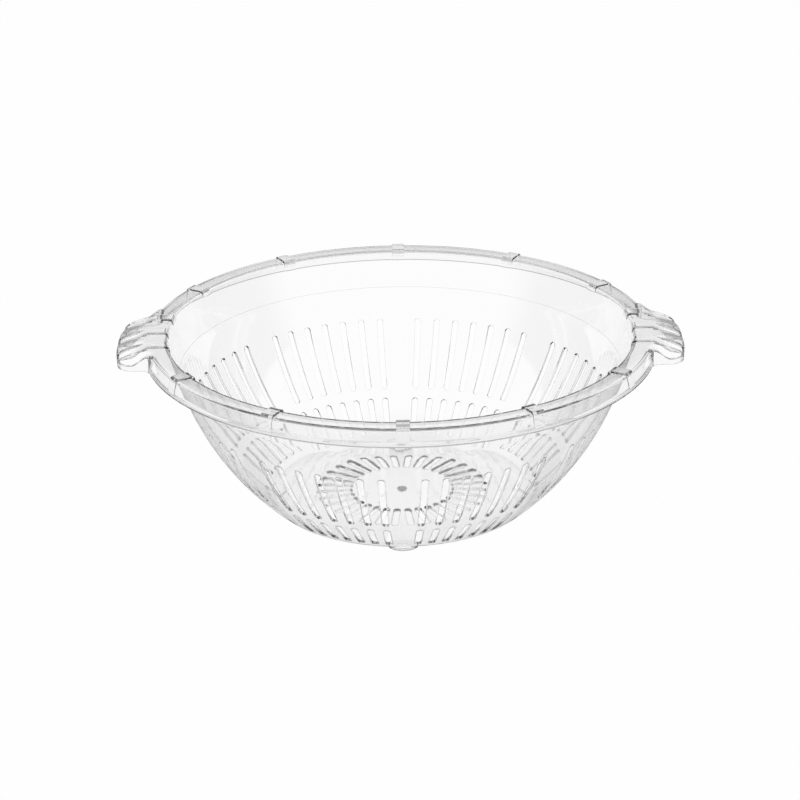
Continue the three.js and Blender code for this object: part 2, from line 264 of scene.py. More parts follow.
class SlotSizes(bpy.types.PropertyGroup):
    """Sizes of the drain slots."""

    width: FloatProperty(
        name="Slot width", description="Width of every drain slot",
        default=4 * MM, unit="LENGTH")
    rounding: FloatProperty(
        name="Slot rounding", description="Rounding of the edges of the slots",
        default=0.65 * MM, unit="LENGTH")
    margin: FloatProperty(
        name="Slot margin", description="How far the cutter of a slot stands out of the wall",
        default=0.1 * MM, unit="LENGTH")
    lower_from: FloatProperty(
        name="Lower row from", description="Lower end of the short slots",
        default=6.6 * MM, unit="LENGTH")
    lower_to: FloatProperty(
        name="Lower row to", description="Upper end of the short slots",
        default=24.6 * MM, unit="LENGTH")
    upper_from: FloatProperty(
        name="Upper row from", description="Lower end of the long slots",
        default=30.3 * MM, unit="LENGTH")
    upper_to: FloatProperty(
        name="Upper row to", description="Upper end of the long slots",
        default=73.7 * MM, unit="LENGTH")
    floor_from: FloatProperty(
        name="Floor slots from", description="Inner end of the floor slots",
        default=34 * MM, unit="LENGTH")
    floor_to: FloatProperty(
        name="Floor slots to", description="Outer end of the floor slots",
        default=58 * MM, unit="LENGTH")
    end_steps: IntProperty(
        name="End steps", description="Steps round the two ends of a slot",
        default=22, min=6)
    bends: IntProperty(
        name="Bends", description="Steps in which a slot follows the curve of the wall",
        default=8, min=2)
    positions: IntProperty(
        name="Positions", description="Places for slots round the wall",
        default=64)
    group: IntProperty(
        name="Group", description="Places in a group, of which the first stays plain",
        default=8)
    floor_count: IntProperty(
        name="Floor slots", description="Number of slots in the floor",
        default=32)


class FootSizes(bpy.types.PropertyGroup):
    """Sizes of the feet and of the stub under the floor."""

    count: IntProperty(
        name="Feet", description="Number of feet round the base",
        default=4, min=2)
    inner: FloatProperty(
        name="Foot inner", description="Distance of a foot's inner end from the axis",
        default=FOOT_LOW.x, unit="LENGTH")
    outer: FloatProperty(
        name="Foot outer", description="Distance of a foot's outer end from the axis",
        default=FOOT_HIGH.x, unit="LENGTH")
    width: FloatProperty(
        name="Foot width", description="Width of a foot",
        default=FOOT_HIGH.y - FOOT_LOW.y, unit="LENGTH")
    depth: FloatProperty(
        name="Foot depth", description="Height of a foot's rounded edge",
        default=3.8 * MM, unit="LENGTH")
    tread: FloatProperty(
        name="Foot tread", description="How much of a foot's round underside is flat",
        default=0.5 * MM, unit="LENGTH")
    bluntness: FloatProperty(
        name="Foot bluntness", description="Power that makes a foot's edge blunt, where 1 is an even curve",
        default=0.5, subtype="FACTOR")
    round_steps: IntProperty(
        name="Foot steps", description="Steps round a foot",
        default=40, min=8)
    edge_steps: IntProperty(
        name="Foot edge steps", description="Steps of a foot's rounded edge, counted from top to underside",
        default=24, min=4)
    gate_radius: FloatProperty(
        name="Stub radius", description="Radius of the stub where the mould was filled",
        default=GATE_HIGH.x, unit="LENGTH")
    gate_tip: FloatProperty(
        name="Stub tip", description="Radius of that stub at its lower end",
        default=2.7 * MM, unit="LENGTH")
    gate_bottom: FloatProperty(
        name="Stub bottom", description="Height of the stub's lower end",
        default=GATE_LOW.z, unit="LENGTH")
    gate_steps: IntProperty(
        name="Stub steps", description="Steps round the stub",
        default=48, min=8)


class StageSettings(bpy.types.PropertyGroup):
    """Colours of the plastic, and the stage with its lights and its camera."""

    plastic: FloatVectorProperty(
        name="Plastic", description="Tint of the clear plastic",
        default=linear_colour("#ffffff"), subtype="COLOR")
    backdrop: FloatVectorProperty(
        name="Backdrop", description="Colour of the floor and the surround",
        default=linear_colour("#ffffff"), subtype="COLOR")
    studio: FloatVectorProperty(
        name="Studio", description="Colour of the dim ceiling over the softboxes",
        default=linear_colour("#707070"), subtype="COLOR")
    screen: FloatVectorProperty(
        name="Screen", description="Colour of the low grey screen behind and beside the table",
        default=linear_colour("#a4a4a4"), subtype="COLOR")
    torn: FloatVectorProperty(
        name="Torn plastic", description="Colour of the torn stub under the floor",
        default=linear_colour("#a8a8a8"), subtype="COLOR")
    screen_top: FloatProperty(
        name="Screen top", description="Angle above the table at which the grey screen ends",
        default=math.radians(22.3), subtype="ANGLE")
    softbox_low: FloatProperty(
        name="Softbox from", description="Angle above the table at which the ring of softboxes begins",
        default=math.radians(24.3), subtype="ANGLE")
    softbox_high: FloatProperty(
        name="Softbox to", description="Angle above the table at which the ring of softboxes ends",
        default=math.radians(62), subtype="ANGLE")
    ceiling: FloatProperty(
        name="Ceiling from", description="Angle above the table from which only the dim ceiling shows",
        default=math.radians(70), subtype="ANGLE")
    front_from: FloatProperty(
        name="Front from", description="Direction towards the camera at which the white front sets in",
        default=-0.2)
    front_to: FloatProperty(
        name="Front to", description="Direction towards the camera from which all is white",
        default=-0.55)
    room_light: FloatProperty(
        name="Room light", description="Strength of the even light on the paper",
        default=0.25)
    key_power: FloatProperty(
        name="Key power", description="Power of the softbox at the left in watts",
        default=4)
    fill_power: FloatProperty(
        name="Fill power", description="Power of the softbox at the right in watts",
        default=2)
    key_place: FloatVectorProperty(
        name="Key place", description="Place of the softbox at the left",
        default=(-0.9, -1.1, 1.9), subtype="TRANSLATION")
    fill_place: FloatVectorProperty(
        name="Fill place", description="Place of the softbox at the right",
        default=(1.3, -0.7, 1.5), subtype="TRANSLATION")
    lamp_size: FloatProperty(
        name="Lamp size", description="Width of a softbox",
        default=1.2, unit="LENGTH")
    paper_radius: FloatProperty(
        name="Paper radius", description="Reach of the paper floor round the bowl",
        default=30, unit="LENGTH")
    paper_steps: IntProperty(
        name="Paper steps", description="Steps round the edge of the paper",
        default=64, min=8)
    paper_seen: FloatProperty(
        name="Paper seen", description="Share of the paper that is plain white, free of light and shadow",
        default=0.985, subtype="FACTOR")
    paper_through: FloatProperty(
        name="Paper through plastic", description="That share where the paper is seen through the plastic",
        default=1, subtype="FACTOR")
    paper_mirrored: FloatProperty(
        name="Paper mirrored", description="That share where the paper is seen in a reflection",
        default=0.1, subtype="FACTOR")
    light_turns: IntProperty(
        name="Light turns", description="How often light may bend and glance inside the plastic",
        default=24)
    aim_height: FloatProperty(
        name="Aim height", description="Height of the point that the camera looks at",
        default=60 * MM, unit="LENGTH")
    distance: FloatProperty(
        name="Camera distance", description="From the middle of the bowl to the camera",
        default=1768.9 * MM, unit="LENGTH")
    elevation: FloatProperty(
        name="Camera elevation", description="Angle of the camera above the surface",
        default=math.radians(23.1), subtype="ANGLE")
    azimuth: FloatProperty(
        name="Camera azimuth", description="Turn of the camera round the bowl",
        default=math.radians(-0.35), subtype="ANGLE")
    roll: FloatProperty(
        name="Camera roll", description="Tilt of the camera about its line of sight",
        default=math.radians(-0.63), subtype="ANGLE")
    lens: FloatProperty(
        name="Lens", description="Focal length in millimetres on a 36 mm sensor",
        default=118.6)
    shift_right: FloatProperty(
        name="Shift right", description="Sideways shift of the picture in pixels",
        default=-1.14)
    shift_up: FloatProperty(
        name="Shift up", description="Upward shift of the picture in pixels",
        default=12.2)


def new_piece(name, bm):
    """Makes an object at the origin from a finished bmesh."""
    mesh = bpy.data.meshes.new(name)
    bm.to_mesh(mesh)
    bm.free()
    piece = bpy.data.objects.new(name, mesh)
    bpy.context.scene.collection.objects.link(piece)
    return piece


def combine(piece, tool, operation):
    """Joins a closed piece with another one, or cuts it by it, and removes the tool."""
    modifier = piece.modifiers.new("combine", "BOOLEAN")
    modifier.operation = operation
    modifier.solver = "MANIFOLD"
    modifier.object = tool
    graph = bpy.context.evaluated_depsgraph_get()
    made = bpy.data.meshes.new_from_object(piece.evaluated_get(graph))
    piece.modifiers.clear()
    if not made.polygons:
        raise RuntimeError(f"{operation} of {piece.name} and {tool.name} left nothing")
    piece.data = made
    bpy.data.objects.remove(tool)


def turned_part(bm, points, half_angle, steps):
    """Turns an outline of radius and height by an angle to both sides of +X into a closed solid."""
    face = bm.faces.new([bm.verts.new((radius, 0, height)) for radius, height in points])
    bmesh.ops.rotate(bm, verts=face.verts, matrix=Matrix.Rotation(-half_angle, 3, "Z"))
    bmesh.ops.spin(
        bm, geom=[face, *face.edges, *face.verts], cent=(0, 0, 0), axis=UP,
        angle=2 * half_angle, steps=steps, use_merge=False)
    bmesh.ops.recalc_face_normals(bm, faces=bm.faces)


def keep_strip(bm, low, high):
    """Keeps what lies between two values of Y and closes the cuts."""
    for place, normal in ((high, (0, 1, 0)), (low, (0, -1, 0))):
        cut = bmesh.ops.bisect_plane(
            bm, geom=[*bm.verts, *bm.edges, *bm.faces], dist=ON_PLANE,
            plane_co=(0, place, 0), plane_no=normal, clear_outer=True)
        rim_edges = [item for item in cut["geom_cut"] if isinstance(item, bmesh.types.BMEdge)]
        bmesh.ops.contextual_create(bm, geom=rim_edges)
    bmesh.ops.recalc_face_normals(bm, faces=bm.faces)


def round_edges(bm, grip):
    """Rounds the sharp edges of a grip or a band."""
    sharp = [edge for edge in bm.edges if edge.is_manifold and edge.calc_face_angle() > ROUNDED_CREASE]
    bmesh.ops.bevel(
        bm, geom=sharp, offset=grip.rounding, offset_type="OFFSET", affect="EDGES",
        segments=grip.rounding_steps, profile=0.5, clamp_overlap=False, material=-1)


def copies_round(bm, count, angle):
    """Adds copies of everything, each turned by one more step about the axis."""
    bmesh.ops.spin(
        bm, geom=[*bm.verts, *bm.edges, *bm.faces], cent=(0, 0, 0), axis=UP,
        angle=angle * (count - 1), steps=count - 1, use_duplicate=True)


def wall_arc_centre(bowl):
    """Centre of the arc that the outside of the wall follows, as radius and height."""
    low = Vector((bowl.base_radius, bowl.floor_bottom))
    high = Vector((bowl.shoulder_radius, bowl.shoulder_height))
    chord = high - low
    rise = math.sqrt(bowl.wall_arc ** 2 - chord.length_squared / 4)
    return (low + high) / 2 + Vector((-chord.y, chord.x)).normalized() * rise


def wall_radius(bowl, height, inset=0.0):
    """Radius of the wall at a height, measured inwards from its outside."""
    centre = wall_arc_centre(bowl)
    return centre.x + math.sqrt((bowl.wall_arc - inset) ** 2 - (height - centre.y) ** 2)


def skirt_radius_at(bowl, height):
    """Outside radius of the skirt at a height."""
    share = (bowl.rim_height - height) / (bowl.rim_height - bowl.skirt_bottom)
    return bowl.rim_outer + (bowl.skirt_radius - bowl.rim_outer) * share


def band_radius_at(bowl, height):
    """Inside radius of the plain band at a height."""
    foot = wall_radius(bowl, bowl.shoulder_height, bowl.wall)
    share = (height - bowl.shoulder_height) / (bowl.rim_height - bowl.shoulder_height)
    return foot + (bowl.rim_inner - foot) * share


class COLANDER_OT_bowl(bpy.types.Operator):
    """Turn the bowl and its rim from one closed profile"""

    bl_idname = "colander.bowl"
    bl_label = "Bowl and Rim"

    def execute(self, context):
        bowl = context.scene.colander_bowl
        bm = bmesh.new()
        corners = self.profile(bowl)
        verts = [bm.verts.new((radius, 0, height)) for radius, height, _ in corners]
        for first, second in zip(verts, verts[1:]):
            bm.edges.new((first, second))
        for vert, (_, _, rounding) in zip(verts, corners):
            if rounding:
                bmesh.ops.bevel(
                    bm, geom=[vert], offset=rounding, offset_type="OFFSET", affect="VERTICES",
                    segments=bowl.fillet_steps, profile=0.5, material=-1)
        bmesh.ops.spin(
            bm, geom=[*bm.verts, *bm.edges], cent=(0, 0, 0), axis=UP,
            angle=math.tau, steps=bowl.turns, use_merge=True)
        bmesh.ops.remove_doubles(bm, verts=bm.verts, dist=SAME_PLACE)
        bmesh.ops.recalc_face_normals(bm, faces=bm.faces)
        new_piece(MOULDING, bm)
        return {"FINISHED"}

    def profile(self, bowl):
        """Corners as radius, height and rounding, from the floor's underside round to its top."""
        floor_top = bowl.floor_bottom + bowl.wall
        under_land = bowl.rim_height - bowl.wall
        wall_bottom = wall_radius(bowl, floor_top, bowl.wall)
        band_outside = bowl.shoulder_radius + bowl.shoulder_step
        bead_top = bowl.skirt_bottom + bowl.bead_height
        corners = [
            (0, bowl.floor_bottom, 0),
            (bowl.base_radius, bowl.floor_bottom, bowl.base_rounding)]
        for step in range(1, bowl.wall_steps):
            share = step / bowl.wall_steps
            height = bowl.floor_bottom + (bowl.shoulder_height - bowl.floor_bottom) * share
            corners.append((wall_radius(bowl, height), height, 0))
        corners += [
            (bowl.shoulder_radius, bowl.shoulder_height, bowl.step_rounding),
            (band_outside, bowl.shoulder_height, bowl.step_rounding),
            (band_radius_at(bowl, under_land) + bowl.wall, under_land, bowl.land_fillet),
            (skirt_radius_at(bowl, under_land) - bowl.wall, under_land, bowl.land_fillet),
            (skirt_radius_at(bowl, bead_top) - bowl.wall, bead_top, bowl.land_fillet),
            (bowl.skirt_radius - bowl.bead_width, bowl.skirt_bottom, bowl.skirt_rounding),
            (bowl.skirt_radius, bowl.skirt_bottom, bowl.skirt_rounding),
            (bowl.rim_outer, bowl.rim_height, bowl.outer_rounding),
            (bowl.rim_inner, bowl.rim_height, bowl.inner_rounding)]
        for step in range(bowl.wall_steps, 0, -1):
            height = floor_top + (bowl.shoulder_height - floor_top) * step / bowl.wall_steps
            corners.append((wall_radius(bowl, height, bowl.wall), height, 0))
        return [*corners, (wall_bottom, floor_top, bowl.floor_fillet), (0, floor_top, 0)]


def smooth_share(value, start, end):
    """Share from 0 to 1 of the way between two values, easing in and out."""
    share = min(max((value - start) / (end - start), 0), 1)
    return share * share * (3 - 2 * share)


def rounded_turn(start, corner, end, steps=12):
    """Points of a smooth curve that leaves towards a corner and arrives from it."""
    pull = 2 / 3
    return interpolate_bezier(start, start.lerp(corner, pull), end.lerp(corner, pull), end, steps)


def lobe_crown(bowl, grip, steps=20):
    """Points of radius and height along the crown of a lobe, from the rim out to the lip."""
    rim = Vector((bowl.rim_outer, bowl.rim_height))
    turn = Vector((grip.reach - grip.lip, bowl.rim_height - grip.crown_drop))
    lip = Vector((grip.reach, bowl.skirt_bottom + grip.lip))
    return rounded_turn(rim, turn, lip, steps)


def lobe_height(bowl, grip, crown, share, across):
    """Height of a grip's top under a crown height, some share of the way out and at a place across."""
    place = min(abs(across - rib * grip.rib_pitch) for rib in RIB_PLACES)
    groove = 1 - smooth_share(place, grip.groove_floor * grip.rib_width, grip.groove_edge * grip.rib_width)
    end = smooth_share(abs(across), grip.width / 2 - grip.end_run, grip.width / 2)
    opened = smooth_share(share, 0, grip.opening)
    low = bowl.skirt_bottom + bowl.wall
    kept = (1 - opened * grip.groove_depth * groove) * (1 - opened * grip.end_fall * end)
    return low + (crown - low) * kept


class COLANDER_OT_grips(bpy.types.Operator):
    """Add the two hollow grips with their finger lobes"""

    bl_idname = "colander.grips"
    bl_label = "Grips"

    def execute(self, context):
        bowl, grip = context.scene.colander_bowl, context.scene.colander_grip
        moulding = bpy.data.objects[MOULDING]
        lobes = self.lobes(bowl, grip, 0)
        bm = bmesh.new()
        bm.from_mesh(lobes.data)
        bmesh.ops.remove_doubles(bm, verts=bm.verts, dist=grip.rounding)
        bmesh.ops.dissolve_degenerate(bm, edges=bm.edges, dist=grip.rounding)
        round_edges(bm, grip)
        bm.to_mesh(lobes.data)
        bm.free()
        combine(moulding, self.both_sides(lobes), "UNION")
        combine(moulding, self.both_sides(self.lobes(bowl, grip, bowl.wall)), "DIFFERENCE")
        return {"FINISHED"}

    def lobes(self, bowl, grip, inset):
        """Solid under the lobed top, drawn in by an inset and run as far past its open sides."""
        crown = lobe_crown(bowl, grip)
        margin = Vector((grip.overlap + inset, 0))
        rows = [(crown[0] - margin, 0)]
        rows += [(point, row / (len(crown) - 1)) for row, point in enumerate(crown)]
        rows.append((crown[-1] + margin, 1))
        columns = self.columns(grip)
        bm = bmesh.new()
        grid = bmesh.ops.create_grid(bm, x_segments=len(columns) - 1, y_segments=len(rows) - 1)["verts"]
        places = [(point, share, across) for point, share in rows for across in columns]
        for vert, (point, share, across) in zip(grid, places):
            height = lobe_height(bowl, grip, point.y, share, across) - inset
            vert.co = (math.sqrt(point.x ** 2 - across ** 2), across, height)
        sunk = bmesh.ops.extrude_face_region(bm, geom=bm.faces[:])["geom"]
        for item in sunk:
            if isinstance(item, bmesh.types.BMVert):
                item.co.z = bowl.skirt_bottom - inset
        bmesh.ops.recalc_face_normals(bm, faces=bm.faces)
        lobes = new_piece("lobes", bm)
        combine(lobes, self.plan(bowl, grip, inset), "INTERSECT")
        return lobes

    def columns(self, grip):
        """Places across a grip, close together on the sides of the grooves and at its ends."""
        side_steps = 6
        end_steps = 8
        half = grip.width / 2
        past_end = half + grip.root_fillet + grip.overlap
        rise = grip.groove_edge - grip.groove_floor
        sides = [grip.groove_floor + rise * step / side_steps for step in range(side_steps + 1)]
        places = {-past_end, past_end}
        for rib in RIB_PLACES:
            places.add(rib * grip.rib_pitch)
            for side in sides:
                places.add(rib * grip.rib_pitch + side * grip.rib_width)
                places.add(rib * grip.rib_pitch - side * grip.rib_width)
        for step in range(end_steps + 1):
            end = half - grip.end_run * step / end_steps
            places.update((end, -end))
        return sorted(places)

    def plan(self, bowl, grip, inset):
        """Upright block with the rounded outline of a grip seen from above."""
        root_steps = 8
        corner_steps = 12
        edge_steps = 16
        half = grip.width / 2 - inset
        edge = grip.reach - inset
        corner = grip.corner - inset
        fillet = grip.root_fillet + inset
        skirt = bowl.skirt_radius - inset
        root = Vector((math.sqrt((skirt + fillet) ** 2 - (half + fillet) ** 2), half + fillet))
        turn = Vector((math.sqrt((edge - corner) ** 2 - (half - corner) ** 2), half - corner))
        inside_rim = bowl.rim_outer - grip.overlap - inset
        outline = [root.normalized() * inside_rim + Vector((0, inset))]
        outline += self.arc(root, fillet, math.atan2(-root.y, -root.x), -math.pi / 2, root_steps)
        outline += self.arc(turn, corner, math.pi / 2, math.atan2(turn.y, turn.x), corner_steps)
        outline += self.arc(Vector((0, 0)), edge, math.atan2(turn.y, turn.x), 0, edge_steps)[1:]
        outline += [Vector((point.x, -point.y)) for point in reversed(outline[:-1])]
        bm = bmesh.new()
        bm.faces.new([bm.verts.new((point.x, point.y, 0)) for point in outline])
        raised = bmesh.ops.extrude_face_region(bm, geom=bm.faces[:])["geom"]
        bmesh.ops.translate(
            bm, vec=UP * grip.band_top,
            verts=[item for item in raised if isinstance(item, bmesh.types.BMVert)])
        bmesh.ops.recalc_face_normals(bm, faces=bm.faces)
        return new_piece("grip_plan", bm)

    def arc(self, centre, radius, start, end, steps):
        """Points of an arc in plan from one direction to another."""
        angles = [start + (end - start) * step / steps for step in range(steps + 1)]
        return [centre + radius * Vector((math.cos(angle), math.sin(angle))) for angle in angles]

    def both_sides(self, piece):
        """Adds the same shape turned to the other side of the bowl."""
        bm = bmesh.new()
        bm.from_mesh(piece.data)
        copies_round(bm, 2, math.pi)
        bm.to_mesh(piece.data)
        bm.free()
        return piece


class COLANDER_OT_bands(bpy.types.Operator):
    """Add the raised ribs of the grips and the knuckles round the rim"""

    bl_idname = "colander.bands"
    bl_label = "Ribs and Knuckles"

    def execute(self, context):
        bowl, grip = context.scene.colander_bowl, context.scene.colander_grip
        moulding = bpy.data.objects[MOULDING]
        knuckles = bmesh.new()
        for side in (0, math.pi):
            for place in range(1, grip.knuckles + 1):
                turn = Matrix.Rotation(side + math.pi * place / (grip.knuckles + 1), 4, "Z")
                self.add_band(knuckles, grip, self.skirt_end(bowl, grip), grip.knuckle_width, 0, turn)
        combine(moulding, new_piece("knuckles", knuckles), "UNION")
        ribs = bmesh.new()
        for side in (0, math.pi):
            turn = Matrix.Rotation(side, 4, "Z")
            for place in RIB_PLACES:
                offset = place * grip.rib_pitch
                self.add_band(ribs, grip, self.groove_end(bowl, grip), grip.rib_width, offset, turn)
        combine(moulding, new_piece("ribs", ribs), "UNION")
        return {"FINISHED"}

    def inner_hook(self, bowl, grip):
        """Outline of a band from its top over the inner edge, down inside and back under the land."""
        rise = grip.band_top - bowl.rim_height
        hook = bowl.rim_height - grip.band_hook
        top = Vector((bowl.rim_inner + rise, grip.band_top))
        corner = Vector((bowl.rim_inner - rise, grip.band_top))
        end = Vector((band_radius_at(bowl, hook) - grip.band_edge, hook))
        return [
            *rounded_turn(top, corner, end),
            Vector((band_radius_at(bowl, hook) + grip.band_sink, hook)),
            Vector((bowl.rim_inner + grip.band_sink, bowl.rim_height - grip.band_sink))]

    def skirt_end(self, bowl, grip):
        """Outline of a knuckle, which runs over the outer edge and out on the skirt above its bead."""
        rise = grip.band_top - bowl.rim_height
        bottom = max(grip.band_bottom, bowl.skirt_bottom + bowl.skirt_rounding)
        skirt = skirt_radius_at(bowl, bottom)
        end = Vector((skirt + grip.band_edge, bottom))
        corner = Vector((bowl.rim_outer + rise, grip.band_top))
        top = Vector((bowl.rim_outer - rise, grip.band_top))
        return [
            Vector((bowl.rim_outer - 2 * grip.band_sink, bowl.rim_height - grip.band_sink)),
            Vector((skirt - grip.band_sink, bottom)),
            *rounded_turn(end, corner, top), *self.inner_hook(bowl, grip)]

    def groove_end(self, bowl, grip):
        """Outline of a rib, which runs over the outer edge and dips into the groove in line with it."""
        crown = lobe_crown(bowl, grip)
        last = len(crown) - 1
        floor = [
            Vector((point.x, lobe_height(bowl, grip, point.y, row / last, 0)))
            for row, point in enumerate(crown) if row < grip.opening * last]
        corner = Vector((bowl.rim_outer + grip.rib_reach, grip.band_top))
        top = Vector((bowl.rim_outer - grip.band_sink, grip.band_top))
        sunk = [point - Vector((0, grip.band_sink)) for point in floor]
        return [*sunk, *rounded_turn(floor[-1], corner, top), *self.inner_hook(bowl, grip)]

    def add_band(self, bm, grip, outline, width, offset, turn):
        """Adds a band of an outline and a width at a distance to one side of +X, turned to its place."""
        band = bmesh.new()
        reach = grip.rib_pitch + grip.rib_width
        turned_part(band, outline, math.atan2(reach, outline[-1].x), grip.band_steps)
        keep_strip(band, offset - width / 2, offset + width / 2)
        bmesh.ops.remove_doubles(band, verts=band.verts, dist=SAME_PLACE_ON_BAND)
        round_edges(band, grip)
        bmesh.ops.transform(band, matrix=turn, verts=band.verts)
        mesh = bpy.data.meshes.new("band")
        band.to_mesh(mesh)
        band.free()
        bm.from_mesh(mesh)
        bpy.data.meshes.remove(mesh)


class COLANDER_OT_feet(bpy.types.Operator):
    """Add the feet and the stub under the floor"""

    bl_idname = "colander.feet"
    bl_label = "Feet"

    def execute(self, context):
        bowl, feet = context.scene.colander_bowl, context.scene.colander_feet
        moulding = bpy.data.objects[MOULDING]
        bm = bmesh.new()
        bmesh.ops.create_uvsphere(bm, u_segments=feet.round_steps, v_segments=feet.edge_steps, radius=1)
        middle = Vector(((feet.outer + feet.inner) / 2, 0, feet.depth - feet.tread))
        size = Vector(((feet.outer - feet.inner) / 2, feet.width / 2, feet.depth))
        inside_floor = bowl.floor_bottom + bowl.wall / 2
        for vert in bm.verts:
            vert.co.z = math.copysign(abs(vert.co.z) ** feet.bluntness, vert.co.z)
            vert.co = middle + vert.co * size
            vert.co.z = min(max(vert.co.z, 0), inside_floor)
        bmesh.ops.dissolve_limit(
            bm, angle_limit=FLAT_TURN, verts=bm.verts[:], edges=bm.edges[:],
            use_dissolve_boundaries=False)
        copies_round(bm, feet.count, math.tau / feet.count)
        combine(moulding, new_piece("feet", bm), "UNION")
        bm = bmesh.new()
        depth = inside_floor - feet.gate_bottom
        place = Matrix.Translation((0, 0, feet.gate_bottom + depth / 2))
        bmesh.ops.create_cone(
            bm, cap_ends=True, segments=feet.gate_steps, radius1=feet.gate_tip,
            radius2=feet.gate_radius, depth=depth, matrix=place)
        combine(moulding, new_piece("stub", bm), "UNION")
        return {"FINISHED"}


class COLANDER_OT_slots(bpy.types.Operator):
    """Cut the drain slots through the wall and the floor"""

    bl_idname = "colander.slots"
    bl_label = "Drain Slots"

    def execute(self, context):
        bowl, slots = context.scene.colander_bowl, context.scene.colander_slots
        moulding = bpy.data.objects[MOULDING]
        wall_pitch = math.tau / slots.positions
        for low, high in ((slots.lower_from, slots.lower_to), (slots.upper_from, slots.upper_to)):
            bm = self.wall_cutter(bowl, slots, low, high)
            bmesh.ops.rotate(bm, verts=bm.verts, matrix=Matrix.Rotation(wall_pitch, 3, "Z"))
            copies_round(bm, slots.group - 1, wall_pitch)
            copies_round(bm, slots.positions // slots.group, slots.group * wall_pitch)
            combine(moulding, new_piece("wall_slots", bm), "DIFFERENCE")
        floor_pitch = math.tau / slots.floor_count
        bm = self.cutter(slots, slots.floor_to - slots.floor_from, bowl.wall)
        middle = Vector(((slots.floor_from + slots.floor_to) / 2, 0, bowl.floor_bottom))
        bmesh.ops.translate(bm, vec=middle, verts=bm.verts)
        bmesh.ops.rotate(bm, verts=bm.verts, matrix=Matrix.Rotation(floor_pitch / 2, 3, "Z"))
        copies_round(bm, slots.floor_count, floor_pitch)
        combine(moulding, new_piece("floor_slots", bm), "DIFFERENCE")
        return {"FINISHED"}

    def cutter(self, slots, length, wall):
        """Flat-lying cutter along X for a wall from Z 0 upwards, flared at both faces to round the edges."""
        bm = bmesh.new()
        loops = []
        for depth, flare in self.flares(slots, wall):
            half_width = slots.width / 2 + flare
            ring = bmesh.ops.create_circle(bm, segments=slots.end_steps, radius=half_width)["verts"]
            for vert in ring:
                vert.co.x += math.copysign((length - slots.width) / 2, vert.co.x)
                vert.co.z = depth
            loops.append({edge for vert in ring for edge in vert.link_edges})
        for first, second in zip(loops, loops[1:]):
            bmesh.ops.bridge_loops(bm, edges=[*first, *second])
        for loop in (loops[0], loops[-1]):
            bmesh.ops.contextual_create(bm, geom=list(loop))
        bmesh.ops.recalc_face_normals(bm, faces=bm.faces)
        return bm

    def flares(self, slots, wall):
        """Depths from the outer face inwards, each with how far the cutter is wider there than the slot."""
        steepest = math.radians(80)
        rings = []
        for turn in (steepest, steepest / 2, 0):
            rings.append((slots.rounding * (1 - math.sin(turn)), slots.rounding * (1 - math.cos(turn))))
        depth, flare = rings[0]
        rings.insert(0, (-slots.margin, flare + (slots.margin + depth) * math.tan(steepest)))
        return rings + [(wall - depth, flare) for depth, flare in reversed(rings)]

    def wall_cutter(self, bowl, slots, low, high):
        """Cutter bent to the wall's arc between two heights on +X."""
        centre = wall_arc_centre(bowl)
        mean_arc = bowl.wall_arc - bowl.wall / 2
        start, end = (math.asin((height - centre.y) / mean_arc) for height in (low, high))
        length = mean_arc * (end - start)
        bm = self.cutter(slots, length, bowl.wall)
        for step in range(1, slots.bends):
            bmesh.ops.bisect_plane(
                bm, geom=[*bm.verts, *bm.edges, *bm.faces], dist=ON_PLANE,
                plane_co=(length * step / slots.bends - length / 2, 0, 0), plane_no=(1, 0, 0))
        for vert in bm.verts:
            angle = (start + end) / 2 + vert.co.x / mean_arc
            radius = bowl.wall_arc - vert.co.z
            vert.co.x = centre.x + radius * math.cos(angle)
            vert.co.z = centre.y + radius * math.sin(angle)
        bmesh.ops.recalc_face_normals(bm, faces=bm.faces)
        return bm


def add_node(tree, kind, settings=None, **links):
    """Adds a node, sets its inputs and properties, and links sockets given by input name."""
    node = tree.nodes.new(kind)
    for name, value in (settings or {}).items():
        if name in node.inputs:
            node.inputs[name].default_value = value
        else:
            setattr(node, name, value)
    for name, socket in links.items():
        tree.links.new(socket, node.inputs[name.replace("_", " ")])
    return node


def empty_tree(owner):
    """Turns on nodes for a material or world and clears them."""
    owner.use_nodes = True
    owner.node_tree.nodes.clear()
    return owner.node_tree


def clear_polystyrene(colour):
    """Clear polystyrene, injection moulded in a polished mould.
    To the eye it is water-clear with a wet gloss, dark where edges bend the light away,
    and the melt flow leaves a faint waviness that breaks up straight reflections."""
    material = bpy.data.materials.new("clear_moulded_polystyrene")
    tree = empty_tree(material)
    place = add_node(tree, "ShaderNodeTexCoord").outputs["Object"]
    # Flow waves about 14 mm apart
    waves = add_node(
        tree, "ShaderNodeTexNoise", {"Scale": 1 / (14 * MM), "Detail": 2.0}, Vector=place)
    bump = add_node(
        tree, "ShaderNodeBump", {"Strength": 0.03, "Distance": 0.6 * MM}, Height=waves.outputs["Fac"])
    # Handling haze in patches about 40 mm across
    haze = add_node(
        tree, "ShaderNodeTexNoise", {"Scale": 1 / (40 * MM), "Detail": 3.0}, Vector=place)
    gloss = add_node(
        tree, "ShaderNodeMapRange", {"To Min": 0.01, "To Max": 0.05}, Value=haze.outputs["Fac"])
    surface = add_node(
        tree, "ShaderNodeBsdfPrincipled",
        {"Base Color": (*colour, 1), "Metallic": 0.0, "IOR": 1.59, "Transmission Weight": 1.0},
        Normal=bump.outputs["Normal"], Roughness=gloss.outputs["Result"])
    # A ninth of the light is lost over 10 mm of plastic
    depth = add_node(
        tree, "ShaderNodeVolumeAbsorption", {"Color": (*linear_colour("#000000"), 1), "Density": 12.0})
    add_node(
        tree, "ShaderNodeOutputMaterial", Surface=surface.outputs["BSDF"], Volume=depth.outputs["Volume"])
    return material


